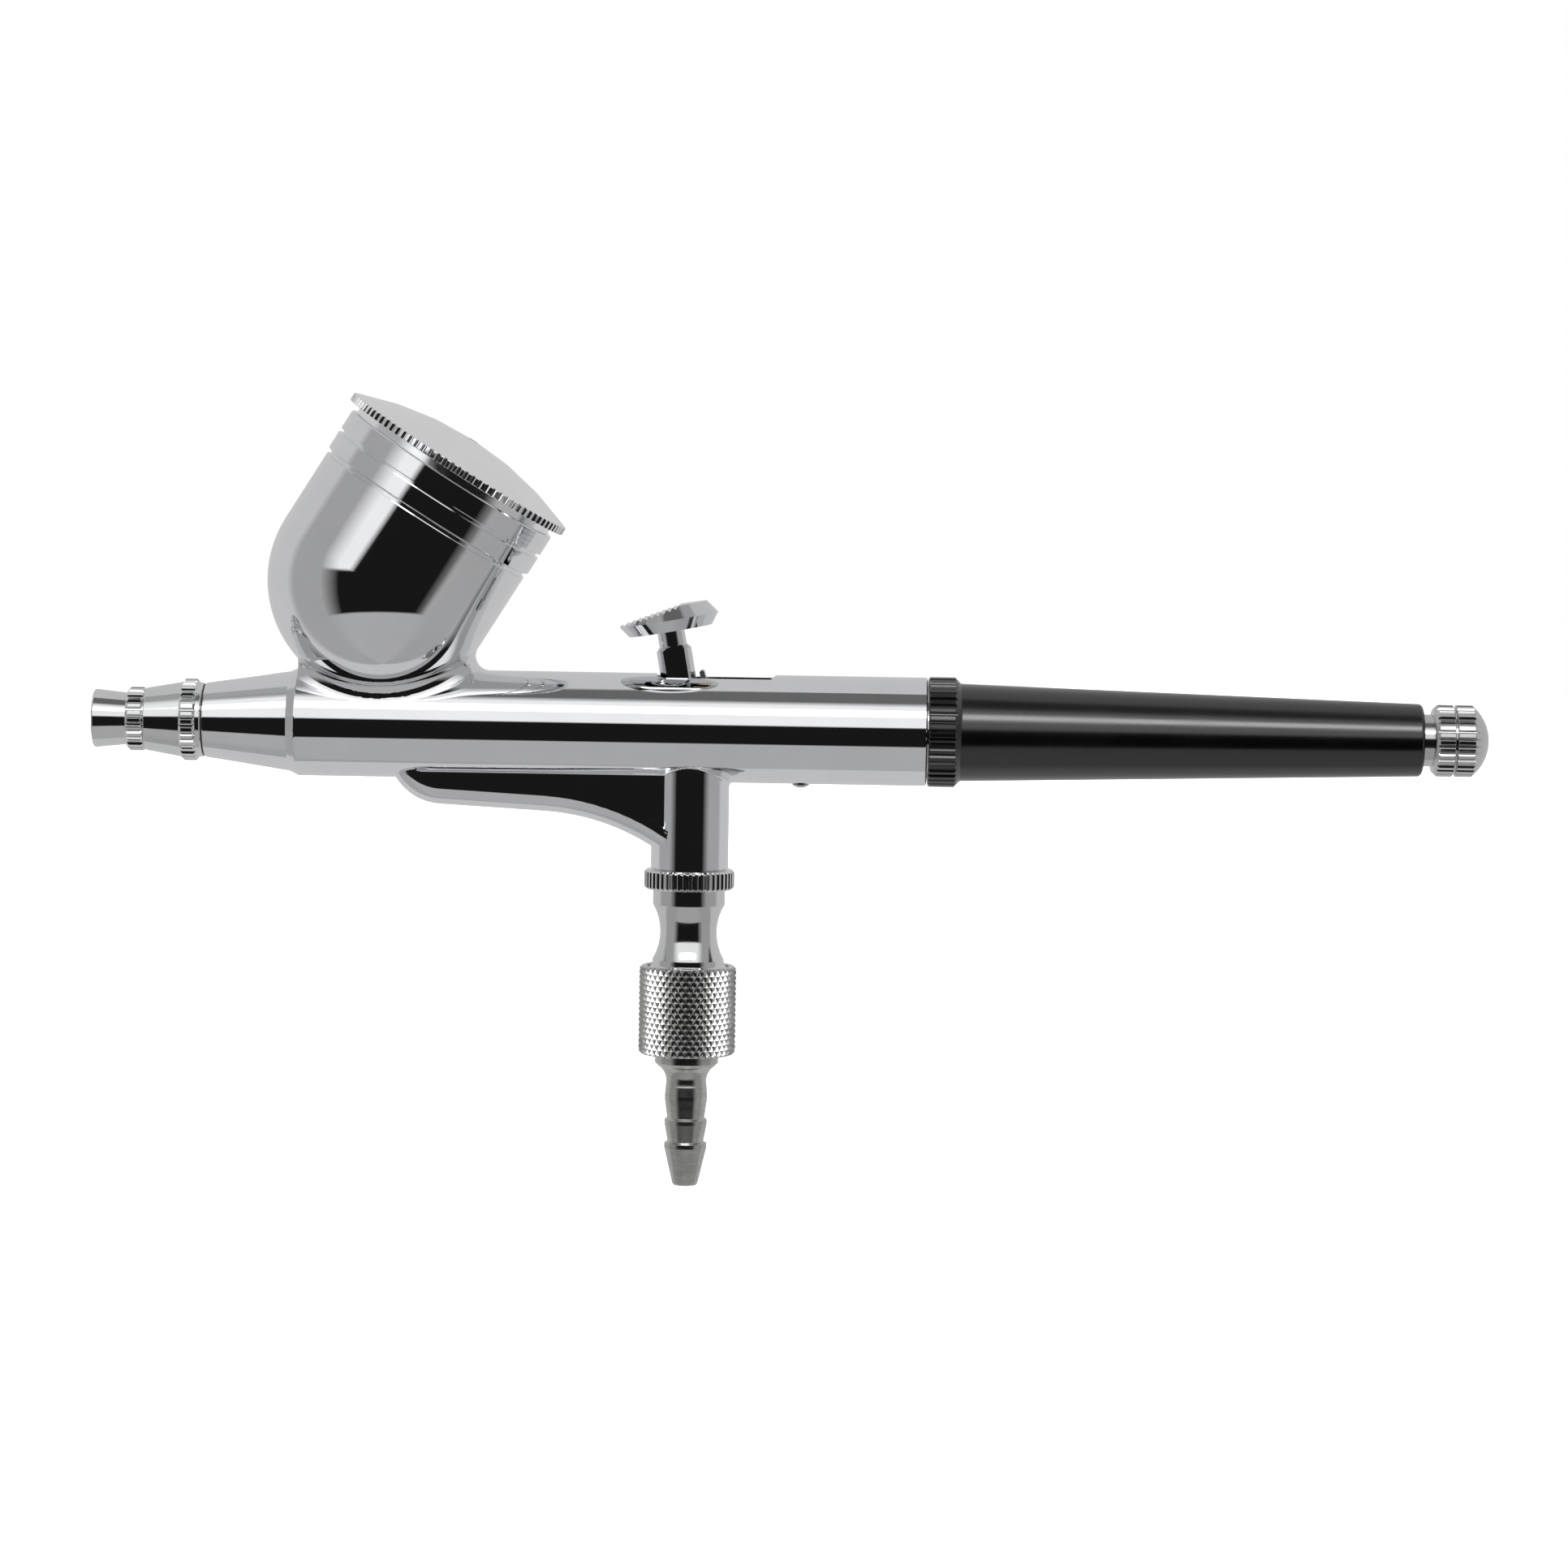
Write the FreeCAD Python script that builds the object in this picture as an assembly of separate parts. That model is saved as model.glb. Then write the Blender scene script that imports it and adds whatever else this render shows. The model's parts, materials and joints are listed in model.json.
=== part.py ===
"""Gravity-feed double-action airbrush gun with a lidded side-leaning paint cup, a thumb trigger, an air valve
with a hose tail below, and a tapered handle that ends in a needle-stop knob.

Frame: the origin is where the barrel's axis meets the air valve's axis. +X runs along the barrel towards the
handle, +Z is up and +Y completes the frame, so the gun is symmetric about the XZ plane.
Units are millimetres.
Each solid piece is written to parts/NODE.step.
"""
import FreeCAD, Part

import math
import os

from FreeCAD import Vector

X_AXIS = Vector(1, 0, 0)
Y_AXIS = Vector(0, 1, 0)
Z_AXIS = Vector(0, 0, 1)
ORIGIN = Vector(0, 0, 0)

# Driving dimensions, all in millimetres or degrees.
BARREL_R = 6.35
BARREL_FRONT_X = -45.85
BARREL_REAR_X = 27.6
CONE_FRONT_X = -57.0
CONE_FRONT_R = 4.38
CONE_REAR_X = -47.0
CONE_REAR_R = 5.85
STUB_FRONT_X = -61.6
STUB_R = 3.4
SPIGOT_REAR_X = 33.6
SPIGOT_R = 5.0
CHAMBER_R = 4.1
CHAMBER_FRONT_X = 2.6
TRIGGER_ROOM_R = 3.4
TRIGGER_ROOM_FRONT_X = -5.2
WELL_R = 2.7
WELL_FLOOR_Z = -6.1
THREAD_GAP = 0.04
RUN_GAP = 0.05

CUP_LEAN_DEG = 32.0
CUP_CENTRE = Vector(-36.5, 0, 16.3)
CUP_R = 13.55
CUP_BOWL_S = 0.45
CUP_BAND_R = 13.72
CUP_WALL = 0.8
CUP_RIM_S = 15.3
CUP_ROOT_R = 1.7
REST_WEB_Y = 3.5
REST_ROOT_R = 0.4
CUP_AXIS = Vector(math.sin(math.radians(CUP_LEAN_DEG)), 0, math.cos(math.radians(CUP_LEAN_DEG)))

STEM_R = 4.55
STEM_BOTTOM_Z = -16.6
STEM_BORE_R = 3.3
STEM_BORE_TOP_Z = -7.6
VALVE_THREAD_R = 4.75

TRIGGER_LEAN_DEG = -10.2
TRIGGER_FOOT_Z = -3.0
TRIGGER_FOOT_R = 1.3
TRIGGER_ROD_R = 2.05
TRIGGER_FLAT_Y = 1.62
LEVER_PIN = Vector(5.6, 0, -2.0)
LEVER_PIN_R = 0.45
PLUNGER_R = 1.2
SLOT_HALF_WIDTH = 2.3
SLOT_FRONT_X = -4.2
SLOT_REAR_X = 10.2

NEEDLE_R = 0.6
NEEDLE_TIP_X = -67.0
NEEDLE_TAIL_X = 66.0

HANDLE_COLLAR_R = 6.42
HANDLE_FRONT_X = 27.7
HANDLE_REAR_X = 85.4
HANDLE_ROOT_R = 5.7
HANDLE_END_R = 4.25
KNOB_R = 4.2
KNOB_FRONT_X = 86.6
KNOB_REAR_X = 93.2
KNOB_SHANK_R = 3.05


# Drawing helpers.
def outline(points, place):
    """A closed wire through points: (u, v), or (u, v, mid_u, mid_v) for an arc through mid."""
    edges = []
    here = place(*points[0][:2])
    for point in points[1:] + points[:1]:
        there = place(*point[:2])
        if (there - here).Length < 1e-7:
            continue
        if len(point) == 4:
            edges.append(Part.Arc(here, place(*point[2:]), there).toShape())
        else:
            edges.append(Part.LineSegment(here, there).toShape())
        here = there
    return Part.Wire(edges)


def turned(points, axis=X_AXIS, centre=ORIGIN):
    """A solid of revolution about axis through centre. Each point is (distance along the axis, radius)."""
    across = Y_AXIS if abs(axis.dot(Y_AXIS)) < 0.5 else X_AXIS
    wire = outline(points, lambda along, radius: centre + axis * along + across * radius)
    solid = Part.Face(wire).revolve(centre, axis, 360)
    if solid.Volume < 0:
        solid.reverse()
    return solid


def dome(base, radius, rise):
    """An outline point for a spherical cap that ends on the axis, rise beyond the circle at base."""
    ball = (radius * radius + rise * rise) / (2 * rise)
    centre = base + rise - ball
    half_angle = math.asin(radius / abs(ball)) / 2
    return (base + rise, 0, centre + ball * math.cos(half_angle), abs(ball) * math.sin(half_angle))


def rod(start, end, radius, radius_end=None, axis=X_AXIS, centre=ORIGIN):
    """A cylinder or cone along axis, from start to end."""
    radius_end = radius if radius_end is None else radius_end
    return turned([(start, 0), (start, radius), (end, radius_end), (end, 0)], axis, centre)


def tube(start, end, radius, bore, axis=X_AXIS, centre=ORIGIN):
    """A plain ring along axis."""
    return turned([(start, bore), (start, radius), (end, radius), (end, bore)], axis, centre)


def block(x0, x1, y0, y1, z0, z1):
    return Part.makeBox(x1 - x0, y1 - y0, z1 - z0, Vector(x0, y0, z0))


def grooves(start, end, radius, depth, teeth, axis=X_AXIS, centre=ORIGIN):
    """V-shaped cutters spaced evenly round a ring, which leave it serrated."""
    pitch = 2 * math.pi / teeth
    across = Y_AXIS if abs(axis.dot(Y_AXIS)) < 0.5 else X_AXIS
    third = axis.cross(across)
    outer = radius + depth
    half_angle = 0.30 * pitch
    cutters = []
    for index in range(teeth):
        corners = []
        for angle, reach in ((-2 * half_angle, outer), (2 * half_angle, outer), (0, radius - depth)):
            turn = index * pitch + angle
            corners.append(centre + axis * start + (across * math.cos(turn) + third * math.sin(turn)) * reach)
        face = Part.Face(Part.makePolygon(corners + corners[:1]))
        cutters.append(face.extrude(axis * (end - start)))
    return Part.makeCompound(cutters)


def spring(start, end, mean_radius, wire_radius, turns, axis=X_AXIS):
    """A closed-end compression spring along axis, as one swept helix."""
    reach = end - start
    path = Part.makeHelix(reach / turns, reach, mean_radius)
    profile = Part.Wire(Part.makeCircle(wire_radius, Vector(mean_radius, 0, 0), Y_AXIS))
    solid = Part.Wire(path.Edges).makePipeShell([profile], True, True)
    solid.Placement = FreeCAD.Placement(axis * start, FreeCAD.Rotation(Z_AXIS, axis))
    return solid


# The main casting: barrel, front cone, cup, finger rest and valve stem in one plated piece.
def barrel_outside():
    return turned([
        (STUB_FRONT_X, 0),
        (STUB_FRONT_X, STUB_R - 0.25),
        (STUB_FRONT_X + 0.25, STUB_R),
        (CONE_FRONT_X, STUB_R),
        (CONE_FRONT_X, CONE_FRONT_R - 0.15),
        (CONE_FRONT_X + 0.15, CONE_FRONT_R),
        (CONE_REAR_X, CONE_REAR_R),
        (BARREL_FRONT_X - 0.35, BARREL_R - 0.12),
        (BARREL_FRONT_X, BARREL_R, BARREL_FRONT_X - 0.19, BARREL_R - 0.03),
        (BARREL_REAR_X - 0.2, BARREL_R),
        (BARREL_REAR_X, BARREL_R - 0.2),
        (BARREL_REAR_X, SPIGOT_R),
        (SPIGOT_REAR_X - 0.3, SPIGOT_R),
        (SPIGOT_REAR_X, SPIGOT_R - 0.3),
        (SPIGOT_REAR_X, 0),
    ])


def cup_outside():
    low_groove, mid_band, high_groove = 9.65, 10.15, 12.45
    diagonal = CUP_R * math.sqrt(0.5)
    return turned([
        (CUP_BOWL_S - CUP_R, 0),
        (CUP_BOWL_S, CUP_R, CUP_BOWL_S - diagonal, diagonal),
        (low_groove - 0.1, CUP_R),
        (low_groove, CUP_R - 0.35),
        (mid_band - 0.1, CUP_R - 0.35),
        (mid_band, CUP_BAND_R - 0.1),
        (mid_band + 0.1, CUP_BAND_R),
        (high_groove - 0.1, CUP_BAND_R),
        (high_groove, CUP_R - 0.3),
        (high_groove + 0.35, CUP_R - 0.3),
        (high_groove + 0.45, CUP_BAND_R),
        (CUP_RIM_S - 0.15, CUP_BAND_R),
        (CUP_RIM_S, CUP_BAND_R - 0.15),
        (CUP_RIM_S, 0),
    ], CUP_AXIS, CUP_CENTRE)


def barrel_with_cup():
    """The barrel and the cup with a rounded root between them, which stops at the barrel's front shoulder."""
    rooted = rod(CONE_FRONT_X, 10, BARREL_R).fuse(cup_outside())
    for edge in rooted.Edges:
        if edge.Curve.TypeId == "Part::GeomBSplineCurve":
            rooted = rooted.makeFillet(CUP_ROOT_R, [edge])
            break
    ahead = block(CONE_FRONT_X - 5, BARREL_FRONT_X, -20, 20, -10, 60)
    return rooted.cut(ahead).fuse([barrel_outside(), cup_outside()])


def cup_inside():
    inner = CUP_R - CUP_WALL
    diagonal = inner * math.sqrt(0.5)
    return turned([
        (CUP_BOWL_S - inner, 0),
        (CUP_BOWL_S, inner, CUP_BOWL_S - diagonal, diagonal),
        (CUP_RIM_S - 0.2, inner),
        (CUP_RIM_S + 1, inner + 0.3),
        (CUP_RIM_S + 1, 0),
    ], CUP_AXIS, CUP_CENTRE)


def finger_rest():
    """The curved brace from the barrel's underside to the stem, with a shallow panel on each side.

    Its lower line is a nose arc, a nearly level run and a hollow arc down the stem, each tangent to
    the next."""
    bead_y, round_r, bead_height = 3.85, 2.5, 2.7
    run_start, run_end = Vector(-29.3, 0, -9.32), Vector(-17.0, 0, -9.95)
    nose_r, hollow_r = 6.5, 26.6
    along = (run_end - run_start).normalize()
    up = Vector(-along.z, 0, along.x)
    nose_centre = run_start + up * nose_r
    hollow_centre = run_end - up * hollow_r

    def side_profile(inset, nose_turn, hollow_end_x):
        """Corner points of a side outline that lies inset from the lower line."""
        nose = nose_r - inset
        hollow = hollow_r + inset
        level = math.atan2(-up.z, -up.x)
        nose_tip = nose_centre + Vector(math.cos(level - nose_turn), 0, math.sin(level - nose_turn)) * nose
        nose_angle = level - nose_turn / 2
        nose_mid = nose_centre + Vector(math.cos(nose_angle), 0, math.sin(nose_angle)) * nose
        start = run_start + up * inset
        end = run_end + up * inset
        hollow_turn = math.asin((hollow_end_x - hollow_centre.x) / hollow) - math.asin(up.x)
        rise = math.atan2(up.z, up.x)
        low = hollow_centre + Vector(math.cos(rise - hollow_turn), 0, math.sin(rise - hollow_turn)) * hollow
        low_angle = rise - hollow_turn / 2
        low_mid = hollow_centre + Vector(math.cos(low_angle), 0, math.sin(low_angle)) * hollow
        return [
            (nose_tip.x, -3.0),
            (nose_tip.x, nose_tip.z),
            (start.x, start.z, nose_mid.x, nose_mid.z),
            (end.x, end.z),
            (low.x, low.z, low_mid.x, low_mid.z),
            (low.x, -3.0),
        ]

    side = outline(side_profile(0, math.radians(80), -1.0), lambda x, z: Vector(x, -bead_y, z))
    brace = Part.Face(side).extrude(Vector(0, 2 * bead_y, 0))
    lower = []
    for edge in brace.Edges:
        middle = edge.valueAt((edge.FirstParameter + edge.LastParameter) / 2)
        on_side = abs(abs(middle.y) - bead_y) < 1e-6
        if on_side and middle.z < -5.5 and abs(middle.x + 1.0) > 0.5:
            lower.append(edge)
    brace = brace.makeFillet(round_r, lower)
    panel = outline(side_profile(bead_height, math.radians(60), -0.5), lambda x, z: Vector(x, REST_WEB_Y, z))
    pocket = Part.Face(panel).extrude(Vector(0, 2, 0))
    mirrored = pocket.mirror(ORIGIN, Y_AXIS)
    return brace.cut(pocket).cut(mirrored)


def valve_stem():
    return turned([
        (0, 0),
        (0, STEM_R),
        (-STEM_BOTTOM_Z - 0.2, STEM_R),
        (-STEM_BOTTOM_Z, STEM_R - 0.2),
        (-STEM_BOTTOM_Z, 0),
    ], Z_AXIS * -1)


def barrel_with_rest():
    """The barrel, finger rest and stem, with rounded roots at the stem, the rest's web and its nose."""
    joined = barrel_outside().fuse([finger_rest(), valve_stem()]).removeSplitter()
    roots = []
    for edge in joined.Edges:
        curved = edge.Curve.TypeId == "Part::GeomBSplineCurve"
        middle = edge.valueAt((edge.FirstParameter + edge.LastParameter) / 2)
        on_web = not curved and abs(abs(middle.y) - REST_WEB_Y) < 1e-3
        off_axis = math.hypot(middle.x, middle.y)
        round_stem = curved and abs(middle.x) < 5 and -6.6 < middle.z < -3 and off_axis > 4.3
        under_barrel = on_web and abs(middle.z + 5.3) < 0.05
        beside_stem = on_web and abs(middle.x + 2.91) < 0.05
        at_nose = curved and middle.x < -33 and -6.6 < middle.z < -4.5
        if round_stem or under_barrel or beside_stem or at_nose:
            roots.append(edge)
    return joined.makeFillet(REST_ROOT_R, roots)


def trigger_slot():
    """The slot in the barrel's top for the trigger and lever: round corners, and a ramp at its rear."""
    ramp = outline([
        (SLOT_REAR_X - 1.6, 2.0),
        (SLOT_REAR_X - 1.6, 5.4),
        (SLOT_REAR_X, BARREL_R + 0.2),
        (SLOT_REAR_X, 9.0),
        (SLOT_FRONT_X, 9.0),
        (SLOT_FRONT_X, 2.0),
    ], lambda x, z: Vector(x, -SLOT_HALF_WIDTH, z))
    plan = block(SLOT_FRONT_X, SLOT_REAR_X, -SLOT_HALF_WIDTH, SLOT_HALF_WIDTH, 1.0, 10.0)
    upright = [edge for edge in plan.Edges if abs(edge.tangentAt(edge.FirstParameter).z) > 0.9]
    return Part.Face(ramp).extrude(Vector(0, 2 * SLOT_HALF_WIDTH, 0)).common(plan.makeFillet(1.2, upright))


def main_body():
    body = barrel_with_cup().fuse(barrel_with_rest()).removeSplitter()

    duct_bottom = -CUP_CENTRE.z / CUP_AXIS.z
    air_start, air_end = Vector(-1.6, 0, -8.0), Vector(STUB_FRONT_X - 1, 0, -2.35)
    air_way = air_end - air_start
    cuts = [
        cup_inside(),
        rod(duct_bottom - 1.2, -CUP_R + 2, 2.0, axis=CUP_AXIS, centre=CUP_CENTRE),
        rod(STUB_FRONT_X - 1, -38.0, 1.5),
        rod(-38.5, -28.0, 2.2),
        rod(-28.5, TRIGGER_ROOM_FRONT_X + 0.5, 0.95),
        rod(TRIGGER_ROOM_FRONT_X, CHAMBER_FRONT_X + 0.5, TRIGGER_ROOM_R),
        rod(CHAMBER_FRONT_X, SPIGOT_REAR_X + 1, CHAMBER_R),
        trigger_slot(),
        rod(-STEM_BORE_TOP_Z, -STEM_BOTTOM_Z + 1, STEM_BORE_R, axis=Z_AXIS * -1),
        rod(0.0, -WELL_FLOOR_Z, WELL_R, axis=Z_AXIS * -1),
        rod(2.0, -STEM_BORE_TOP_Z + 0.5, PLUNGER_R + RUN_GAP, axis=Z_AXIS * -1),
        Part.makeCylinder(0.6, air_way.Length, air_start, air_way),
        rod(3.0, 8.0, 0.55, axis=Z_AXIS * -1, centre=Vector(12.9, 0, 0)),
        rod(BARREL_R - 0.25, 8.0, 1.02, axis=Z_AXIS * -1, centre=Vector(12.9, 0, 0)),
    ]
    for cutter in cuts:
        body = body.cut(cutter)
    return body


# Spray head.
def needle_cap():
    ring_front, ring_rear, ring_r = -66.05, -63.95, 3.74
    mouth_x = -70.05
    shell = turned([
        (mouth_x + 0.25, 2.95),
        (mouth_x, 3.15),
        (mouth_x, 3.3),
        (mouth_x + 0.2, 3.43),
        (ring_front - 0.05, 3.04),
        (ring_front, ring_r - 0.3),
        (ring_front + 0.3, ring_r),
        (ring_rear - 0.3, ring_r),
        (ring_rear, ring_r - 0.3),
        (ring_rear, 2.5 + THREAD_GAP),
        (ring_front + 0.1, 2.5 + THREAD_GAP),
        (ring_front + 0.1, 2.0),
    ])
    return shell.cut(grooves(ring_front - 0.1, ring_rear + 0.1, ring_r, 0.24, 26))


def nozzle_cap():
    ring_front, ring_rear, ring_r = -59.65, -57.75, 4.8
    nose_x = -65.9
    shell = turned([
        (nose_x, 0.75),
        (nose_x, 2.2),
        (nose_x + 0.3, 2.5),
        (-63.95, 2.5),
        (-63.95, 3.62),
        (-63.85, 3.68),
        (ring_front, 4.42),
        (ring_front, ring_r - 0.3),
        (ring_front + 0.3, ring_r),
        (ring_rear - 0.3, ring_r),
        (ring_rear, ring_r - 0.3),
        (ring_rear, 4.38),
        (-57.3, 4.38),
        (-57.15, 4.25),
        (-57.15, STUB_R + THREAD_GAP),
        (STUB_FRONT_X - 0.15, STUB_R + THREAD_GAP),
        (-64.3, 1.6),
        (-65.2, 0.75),
    ])
    return shell.cut(grooves(ring_front - 0.1, ring_rear + 0.1, ring_r, 0.26, 32))


def nozzle_cap_seal():
    return tube(-57.15, CONE_FRONT_X, 4.22, STUB_R + THREAD_GAP)


def fluid_nozzle():
    return turned([
        (-66.3, 0.32),
        (-66.3, 0.45),
        (-63.2, 1.15),
        (-62.5, 1.45),
        (-62.5, 1.95),
        (-61.85, 1.95),
        (-61.85, 1.46),
        (-57.6, 1.46),
        (-57.6, 0.95),
        (-62.0, 0.95),
        (-65.6, 0.32),
    ])


def nozzle_seal():
    return tube(-61.85, STUB_FRONT_X, 1.9, 1.5)


def needle_packing():
    return tube(-38.0, -35.2, 2.15, NEEDLE_R + 0.02)


def packing_screw():
    body = tube(-35.2, -30.4, 2.15, 0.85)
    return body.cut(block(-31.4, -30.0, -0.3, 0.3, -3, 3))


# Needle train.
def needle():
    return turned([
        (NEEDLE_TIP_X, 0),
        (NEEDLE_TIP_X + 1.2, 0.12),
        (NEEDLE_TIP_X + 6.5, 0.42),
        (NEEDLE_TIP_X + 12.0, NEEDLE_R),
        (NEEDLE_TAIL_X - 0.3, NEEDLE_R),
        (NEEDLE_TAIL_X, NEEDLE_R - 0.3),
        (NEEDLE_TAIL_X, 0),
    ])


def needle_tube():
    """The sliding guide. Its wide head takes the rear lever, and the needle runs through it."""
    head_r = CHAMBER_R - RUN_GAP
    solid = turned([
        (3.3, 0.75),
        (3.3, head_r - 0.3),
        (3.6, head_r),
        (14.2, head_r),
        (14.5, head_r - 0.3),
        (14.5, 2.2),
        (40.8, 2.2),
        (44.4, 1.5),
        (44.4, NEEDLE_R + 0.02),
        (38.0, NEEDLE_R + 0.02),
        (37.0, 0.75),
    ])
    lever_room = block(3.0, 7.8, -1.6, 1.6, -5, 5)
    key_way = block(8.8, 15.0, -0.75, 0.75, -5, -3.05)
    pin_hole = rod(-5, 5, LEVER_PIN_R + 0.02, axis=Y_AXIS, centre=LEVER_PIN)
    collet_slit = block(39.5, 45.0, -3, 3, -0.15, 0.15)
    return solid.cut([lever_room, key_way, pin_hole, collet_slit])


def chuck_nut():
    barrel = turned([
        (39.2, 2.2 + THREAD_GAP),
        (39.2, 3.2),
        (39.5, 3.5),
        (46.7, 3.5),
        (47.0, 3.2),
        (47.0, 0.8),
        (44.5, 0.8),
        (44.5, 1.55),
        (40.85, 2.2 + THREAD_GAP),
    ])
    return barrel.cut(grooves(42.0, 47.1, 3.5, 0.18, 28))


def lever_pin():
    """The pin across the tube's head that the rear lever turns on."""
    return rod(-3.2, 3.2, LEVER_PIN_R, axis=Y_AXIS, centre=LEVER_PIN)


def rear_lever():
    """The small lever behind the trigger. Its tip shows in the slot and its fork straddles the needle."""
    half_width = 1.4
    side = outline([
        (1.95, 0.4),
        (0.9, 6.54),
        (1.46, 6.54, 1.18, 6.82),
        (2.7, 2.9),
        (4.0, 0.9),
        (6.6, -1.5),
        (6.6, -2.5, 6.8, -2.0),
        (4.9, -2.9),
    ], lambda x, z: Vector(x, -half_width, z))
    plate = Part.Face(side).extrude(Vector(0, 2 * half_width, 0))
    needle_way = block(0, 8, -NEEDLE_R - 0.25, NEEDLE_R + 0.25, -1.3, 1.7)
    pin_hole = rod(-2, 2, LEVER_PIN_R + RUN_GAP, axis=Y_AXIS, centre=LEVER_PIN)
    return plate.cut([needle_way, pin_hole])


def needle_spring():
    return spring(14.95, 36.15, 2.8, 0.32, 11)


def spring_sleeve():
    """Screws into the barrel's rear and sets the needle spring's tension."""
    outer = CHAMBER_R - THREAD_GAP
    body = turned([
        (19.0, 3.35),
        (19.0, outer),
        (SPIGOT_REAR_X + 0.2, outer),
        (SPIGOT_REAR_X + 0.2, 4.0),
        (38.0, 4.0),
        (38.3, 3.7),
        (38.3, 2.2 + RUN_GAP),
        (36.6, 2.2 + RUN_GAP),
        (36.6, 3.35),
    ])
    return body.cut(grooves(34.4, 38.4, 4.0, 0.18, 30))


def guide_screw():
    """The small screw under the barrel. Its tip runs in the needle tube's keyway and stops it turning."""
    centre = Vector(12.9, 0, 0)
    screw = turned([
        (3.35, 0),
        (3.35, 0.5),
        (BARREL_R - 0.25, 0.5),
        (BARREL_R - 0.25, 1.0),
        (BARREL_R + 0.1, 1.0),
        dome(BARREL_R + 0.1, 1.0, 0.35),
    ], Z_AXIS * -1, centre)
    return screw.cut(block(11.0, 15.0, -0.13, 0.13, -8, -BARREL_R - 0.05))


# Trigger, built upright from its foot and then leaned.
def leaned(shape):
    shape.rotate(ORIGIN, Y_AXIS, TRIGGER_LEAN_DEG)
    shape.translate(Vector(0, 0, TRIGGER_FOOT_Z))
    return shape


def trigger_stem():
    """The trigger's rod. Its round foot rocks on the valve rod and it has a window for the needle."""
    block_top, neck_top, neck_r = 12.8, 14.6, 1.6
    rod_part = turned([
        (0, 0),
        (0, TRIGGER_FOOT_R - 0.2),
        (1.2, TRIGGER_ROD_R),
        (block_top - 0.45, TRIGGER_ROD_R),
        (block_top, neck_r + 0.04),
        (block_top, neck_r),
        (neck_top, neck_r),
        (neck_top, 0),
    ], Z_AXIS)
    near_flat = block(-5, 5, TRIGGER_FLAT_Y, 5, -2, block_top)
    far_flat = block(-5, 5, -5, -TRIGGER_FLAT_Y, -2, block_top)
    foot = rod(-TRIGGER_FLAT_Y, TRIGGER_FLAT_Y, TRIGGER_FOOT_R, axis=Y_AXIS)
    needle_slot = block(-5, 5, -NEEDLE_R - 0.25, NEEDLE_R + 0.25, 1.8, 6.0)
    return leaned(rod_part.cut([near_flat, far_flat]).fuse(foot).cut(needle_slot))


def trigger_button():
    """A round thumb pad with a sharp rim. Its front slopes down and has ridges across it."""
    low, widest, high, radius = 14.6, 15.92, 17.42, 5.85
    slope_start, slope_deg, ridge_pitch, ridge_depth = 1.5, 10.2, 0.72, 0.34
    pad = turned([
        (low, 0),
        (low, 4.9),
        (widest, radius),
        (high, 4.75),
        (high, 0),
    ], Z_AXIS)
    profile = [(slope_start, ridge_depth + 3), (slope_start, 0)]
    for index in range(11):
        profile.append((slope_start - (index + 0.5) * ridge_pitch, -ridge_depth))
        profile.append((slope_start - (index + 1) * ridge_pitch, 0))
    profile.append((profile[-1][0], ridge_depth + 3))
    ridges = Part.Face(outline(profile, lambda x, z: Vector(x, -7, z))).extrude(Vector(0, 14, 0))
    ridges.rotate(Vector(slope_start, 0, 0), Y_AXIS, -slope_deg)
    ridges.translate(Vector(0, 0, high))
    return leaned(pad.cut(ridges))


# Air valve, from the trigger's foot down to the hose tail.
def valve_plunger():
    """The rod that the trigger stands on, with the valve head it pushes off its seat."""
    top = -TRIGGER_FOOT_Z + TRIGGER_FOOT_R + 0.05
    return turned([
        (top, 0),
        (top, PLUNGER_R - 0.2),
        (top + 0.2, PLUNGER_R),
        (12.6, PLUNGER_R),
        (12.6, 2.0),
        (13.9, 2.0),
        (13.9, 1.0),
        (16.6, 1.0),
        (16.9, 0.7),
        (16.9, 0),
    ], Z_AXIS * -1)


def valve_head_seal():
    return tube(12.04, 12.6, 1.95, PLUNGER_R, axis=Z_AXIS * -1)


def valve_body():
    """The turned housing: threaded neck, serrated collar, waist and the end that the union nut takes."""
    waist = turned([
        (9.0, 1.6),
        (9.0, STEM_BORE_R - 0.3),
        (9.3, STEM_BORE_R - THREAD_GAP),
        (-STEM_BOTTOM_Z, STEM_BORE_R - THREAD_GAP),
        (-STEM_BOTTOM_Z, 5.0),
        (16.9, 5.3),
        (18.6, 5.3),
        (18.9, 5.0),
        (18.9, 4.24),
        (20.7, 4.24),
        (27.2, 4.2, 23.8, 3.33),
        (27.85, 4.24),
        (28.4, VALVE_THREAD_R),
        (33.1, VALVE_THREAD_R),
        (33.5, VALVE_THREAD_R - 0.4),
        (33.5, 1.3),
        (27.6, 1.3),
        (27.6, 2.4),
        (12.0, 2.4),
        (12.0, 1.6),
    ], Z_AXIS * -1)
    return waist.cut(grooves(16.5, 19.0, 5.3, 0.24, 48, axis=Z_AXIS * -1))


def valve_neck_seal():
    """The washer between the valve's neck and the stem's inner step."""
    return tube(-STEM_BORE_TOP_Z, 9.0, 3.2, 2.0, axis=Z_AXIS * -1)


def valve_spring():
    return spring(14.3, 24.0, 1.6, 0.24, 9, axis=Z_AXIS * -1)


def valve_retainer():
    """The hollow screw that closes the valve housing and carries the spring."""
    body = tube(24.4, 27.5, 2.4 - THREAD_GAP, 0.9, axis=Z_AXIS * -1)
    return body.cut(block(-3, 3, -0.35, 0.35, -28, -26.7))


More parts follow.
